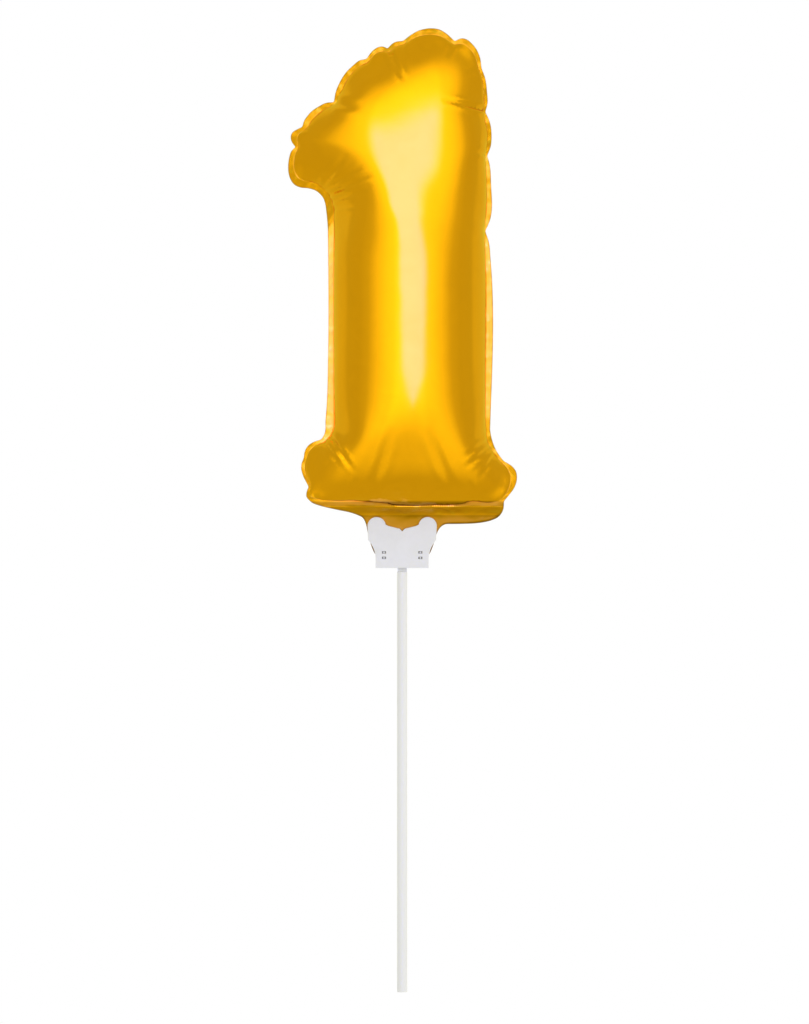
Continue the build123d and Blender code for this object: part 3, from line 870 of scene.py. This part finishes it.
def make_sheet(name, side, seam, skin, triangles, edge, tilts):
    """One film, front (side -1) or back (side 1): its inflated skin, sealed margin and tail."""
    count = len(seam)
    rim = np.empty((2 * count, 3))
    rim[0::2] = seam
    rim[1::2] = (seam + np.roll(seam, -1, 0)) / 2
    along = np.concatenate([[0], np.cumsum(np.linalg.norm(np.diff(edge, axis=0), axis=1))])
    width = np.linalg.norm(edge - rim[:, [0, 2]], axis=1)
    far = rim[:, 1] + (tilts * width + puckered(along) * (1 + STRAIGHT_PUCKER * (tilts < 0.28))) * eased(
        edge[:, 1], 288, 300)
    rings, beads = [], []
    for share in (0.0,) + MARGIN_RINGS:
        ring = rim.copy()
        ring[:, [0, 2]] = rim[:, [0, 2]] * (1 - share) + edge * share
        hang = np.clip((ring[:, 2] - TAIL_GRIPPED) / (BASE_SEAM - TAIL_GRIPPED), 0, 1)
        ring[:, 1] = (rim[:, 1] * (1 - share) + far * share) * np.maximum(hang, share == 0)
        in_tail = 1 - eased(ring[:, 2], 287, 292)
        ring[:, 1] += side * (SEALED_HALF + (TAIL_HALF - SEALED_HALF) * in_tail)
        across = np.clip(1 - ((ring[:, 0] - NECK_CHANNEL[0]) / NECK_CHANNEL[1]) ** 2, 0, 1)
        upward = np.clip(1 - ((ring[:, 2] - NECK_CHANNEL[2]) / NECK_CHANNEL[3]) ** 2, 0, 1)
        ring[:, 1] += side * NECK_PUFF * across * upward
        rolled = np.zeros(len(ring))
        for left, right in NECK_BEADS:
            inward = eased(ring[:, 0], left, left + 2.5) * (1 - eased(ring[:, 0], right - 2.5, right))
            roll = np.exp(-((ring[:, 2] - BEAD_HEIGHT) / BEAD_HALF) ** 2)
            ring[:, 1] += side * BEAD_RISE * inward * roll
            rolled = np.maximum(rolled, inward * roll)
        beads.append(rolled)
        rings.append(ring)
    points = np.concatenate([*rings, skin])
    total = 2 * count
    faces = []
    first_skin = total * len(rings)

    def place(index):
        return 2 * index if index < count else first_skin + index - count

    for a, b, c in triangles.tolist():
        face = [a, b, c]
        made = []
        for this, after in zip(face, face[1:] + face[:1]):
            made.append(place(this))
            if this < count and after < count and (after - this) % count == 1:
                made.append(2 * this + 1)
            elif this < count and after < count and (this - after) % count == 1:
                made.append(2 * after + 1)
        faces.append(made)
    for ring in range(len(rings) - 1):
        for i in range(total):
            j = (i + 1) % total
            faces.append([total * ring + j, total * ring + i, total * (ring + 1) + i, total * (ring + 1) + j])
    if side > 0:
        faces = [face[::-1] for face in faces]
    mesh = bpy.data.meshes.new(name)
    mesh.from_pydata((points * MM).tolist(), [], faces)
    seal = mesh.attributes.new("seal", "FLOAT", "POINT")
    share = np.zeros(len(points), np.float32)
    share[total:first_skin] = 1
    share[:total] = 0.5
    seal.data.foreach_set("value", share)
    bead = mesh.attributes.new("bead", "FLOAT", "POINT")
    bead.data.foreach_set("value", np.concatenate([*beads, np.zeros(len(skin))]).astype(np.float32))
    sharp = mesh.attributes.new("crease_edge", "FLOAT", "EDGE")
    ends = np.empty(len(mesh.edges) * 2, int)
    mesh.edges.foreach_get("vertices", ends)
    ends = ends.reshape(-1, 2)
    on_seam = (ends < total).all(1)
    sharp.data.foreach_set("value", on_seam.astype(np.float32) * SEAM_SHARPNESS)
    sheet = bpy.data.objects.new(name, mesh)
    bpy.context.collection.objects.link(sheet)
    sheet.data.materials.append(GOLD)
    for face in mesh.polygons:
        face.use_smooth = True
    smooth = sheet.modifiers.new("smooth", "SUBSURF")
    smooth.levels = smooth.render_levels = 1
    apply_modifiers(sheet)
    press_creases(sheet)
    wall = sheet.modifiers.new("film", "SOLIDIFY")
    wall.thickness = FILM * MM
    wall.offset = -1
    apply_modifiers(sheet)
    return sheet


def apply_modifiers(piece):
    bpy.ops.object.select_all(action="DESELECT")
    bpy.context.view_layer.objects.active = piece
    piece.select_set(True)
    for modifier in list(piece.modifiers):
        bpy.ops.object.modifier_apply(modifier=modifier.name)
    piece.select_set(False)


def make_foil():
    seam_flat, corners = flat_seam()
    points, triangles = flat_film(seam_flat)
    count = len(seam_flat)
    blown_seam, front_skin, back_skin = inflate(points, triangles, count)
    line = line_round(SEAM_LINE, corners, count, 1)
    seam = np.stack([line[:, 0], blown_seam[:, 1] * SEAM_WAVE, line[:, 1]], 1)
    seam[:, 1] -= BASE_LEAN * (1 - eased(seam[:, 2], *LEAN_BETWEEN))
    front_skin, back_skin = iron(blown_seam, seam, front_skin, back_skin, triangles)
    edge = line_round(MARGIN_EDGE, corners, count, 2)
    tilts = margin_tilts(corners, count)
    for name, side, skin in (("front_film", -1, front_skin), ("back_film", 1, back_skin)):
        sheet = make_sheet(name, side, seam, skin, triangles, edge, tilts)
        half = name.split("_")[0]
        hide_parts(half + "_film_panel", half + "_film_tail")
        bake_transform(sheet)


make_foil()

# ---------------------------------------------------------------- valve

VALVE_WIDTH = 17.0
VALVE_ENDS = (262.5, 349.8)
VALVE_FILM = 0.06


def make_valve(name, side):
    """One clear strip of the valve, rounded at its upper end and a little wavy inside the balloon."""
    bpy.ops.object.select_all(action="DESELECT")
    length = VALVE_ENDS[1] - VALVE_ENDS[0]
    bpy.ops.mesh.primitive_grid_add(x_subdivisions=12, y_subdivisions=60, size=1)
    strip = bpy.context.object
    strip.name = name
    for vertex in strip.data.vertices:
        x, up = vertex.co.x, vertex.co.y + 0.5
        z = VALVE_ENDS[0] + up * length
        narrowing = 1 - 0.16 * eased(z, VALVE_ENDS[1] - 4, VALVE_ENDS[1]) ** 2
        free = eased(z, 296, 320)
        wave = 1.3 * math.sin(z / 9) + 0.7 * math.sin(x * 7 + z / 14)
        y = side * (0.04 + 0.5 * free) + free * wave
        vertex.co = (x * VALVE_WIDTH * narrowing * MM, y * MM, z * MM)
    bpy.ops.object.mode_set(mode="EDIT")
    bpy.ops.mesh.select_all(action="SELECT")
    bpy.ops.mesh.normals_make_consistent(inside=False)
    bpy.ops.object.mode_set(mode="OBJECT")
    if strip.data.polygons[0].normal.y * side < 0:
        strip.data.flip_normals()
    wall = strip.modifiers.new("film", "SOLIDIFY")
    wall.thickness = VALVE_FILM * MM
    wall.offset = 1
    apply_modifiers(strip)
    strip.data.shade_smooth()
    strip.data.materials.append(CLEAR)
    half = "front" if side < 0 else "back"
    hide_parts("valve_" + half + "_strip", "valve_" + half + "_mouth")
    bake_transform(strip)


make_valve("valve_front_film", -1)
make_valve("valve_back_film", 1)

# ---------------------------------------------------------------- clip and stick

WEB_WIDTH = 0.005
WEB_OFFSET = 0.009
WEB_FILM = 0.00035
WEB_RADIUS = 0.0013
CLIP_BOTTOM = 0.2544


def make_web(name, x):
    """A thin hinge web: a flat bar's end spun half a turn from the rear plate round to the front one."""
    bpy.ops.object.select_all(action="DESELECT")
    bpy.ops.mesh.primitive_plane_add(size=1, location=(x, WEB_RADIUS - WEB_FILM / 2, CLIP_BOTTOM))
    web = bpy.context.object
    web.name = name
    bpy.ops.object.mode_set(mode="EDIT")
    bpy.ops.mesh.select_all(action="SELECT")
    bpy.ops.transform.resize(value=(WEB_WIDTH, WEB_FILM, 1))
    bpy.ops.mesh.subdivide(number_cuts=1)
    bpy.ops.mesh.select_all(action="SELECT")
    bpy.ops.mesh.spin(steps=20, angle=-math.pi, center=(x, 0, CLIP_BOTTOM), axis=(1, 0, 0))
    bpy.ops.mesh.select_all(action="SELECT")
    bpy.ops.mesh.normals_make_consistent(inside=False)
    bpy.ops.object.mode_set(mode="OBJECT")
    bpy.ops.object.transform_apply(location=True, rotation=True, scale=True)
    round_edges = web.modifiers.new("edges", "BEVEL")
    round_edges.width = 0.00005
    round_edges.segments = 2
    round_edges.limit_method = "ANGLE"
    apply_modifiers(web)
    web.select_set(True)
    bpy.ops.object.shade_smooth_by_angle(angle=math.radians(40))
    web.select_set(False)
    web.data.materials.append(CLIP_WHITE)
    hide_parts("clip_hinge_webs")
    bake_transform(web)


make_web("hinge_web_left", -WEB_OFFSET)
make_web("hinge_web_right", WEB_OFFSET)

POST_OFFSET = 0.0109
POST_HEIGHTS = (0.2605, 0.2638)
POST_HEAD = (0.00222, 0.00035, 0.00122)
POST_HEAD_FACE = -0.00098
POST_HEAD_ROUNDING = 0.00014


def make_post_heads():
    """The flattened heads of the rear plate's four snap posts, seen in the front plate's windows; their dark
    grey colour is painted shade of the recess.
    """
    bpy.ops.object.select_all(action="DESELECT")
    bpy.ops.mesh.primitive_cube_add(size=1)
    head = bpy.context.object
    bpy.ops.object.mode_set(mode="EDIT")
    bpy.ops.mesh.select_all(action="SELECT")
    bpy.ops.transform.resize(value=POST_HEAD)
    bpy.ops.mesh.bevel(offset=POST_HEAD_ROUNDING, segments=3, affect="EDGES")
    bpy.ops.object.mode_set(mode="OBJECT")
    head.select_set(True)
    bpy.ops.object.shade_smooth_by_angle(angle=math.radians(40))
    head.data.materials.append(CLIP_PAINTED_SHADE)
    places = [(x, z) for x in (-POST_OFFSET, POST_OFFSET) for z in POST_HEIGHTS]
    for number, (x, z) in enumerate(places, 1):
        copy = bpy.data.objects.new(f"snap_post_head_{number}", head.data.copy())
        bpy.context.collection.objects.link(copy)
        copy.data.transform(Matrix.Translation((x, POST_HEAD_FACE + POST_HEAD[1] / 2, z)))
        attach(copy, "clip_rear")
    bpy.data.objects.remove(head)


make_post_heads()

CAD_FINISHES = {"clip_rear_plate": CLIP_WHITE, "clip_front_plate": CLIP_WHITE, "stick_tube": STICK_WHITE}
for name, finish in CAD_FINISHES.items():
    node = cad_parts[name]
    node.data.materials.clear()
    node.data.materials.append(finish)
